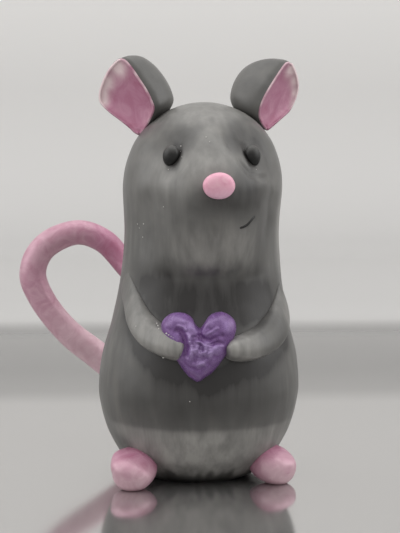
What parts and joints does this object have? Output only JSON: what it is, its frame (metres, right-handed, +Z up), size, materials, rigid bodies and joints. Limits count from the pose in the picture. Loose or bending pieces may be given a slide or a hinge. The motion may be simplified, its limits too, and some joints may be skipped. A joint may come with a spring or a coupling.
{
  "type": "mouse figurine",
  "caption": "Standing clay mouse figurine with cupped ears, paws round a heart and a tail curled up at one side, resting on its flat underside.",
  "frame": {"origin": "foot of the body's axis, on the flat face that the figurine stands on", "axes": "+Z up, the face looks along -Y, the mouse's own left is +X, and its tail curls up towards -X"},
  "size_m": [0.0405, 0.0441, 0.0582],
  "materials": {
    "grey_clay": "satin",
    "pink_clay": "satin",
    "purple_clay": "pearly",
    "black_clay": "gloss",
    "foil": "crushed",
    "steel_wire": "satin"
  },
  "bodies": {
    "root": {"body": "grey_clay", "foil_core": "foil", "nose": "pink_clay", "eye_left": "black_clay", "eye_right": "black_clay", "ear_left": "grey_clay", "ear_right": "grey_clay", "ear_lining_left": "pink_clay", "ear_lining_right": "pink_clay", "arm_left": "grey_clay", "arm_right": "grey_clay", "heart": "purple_clay", "foot_left": "pink_clay", "foot_right": "pink_clay", "tail": "pink_clay", "tail_wire": "steel_wire"}
  },
  "joints": []
}
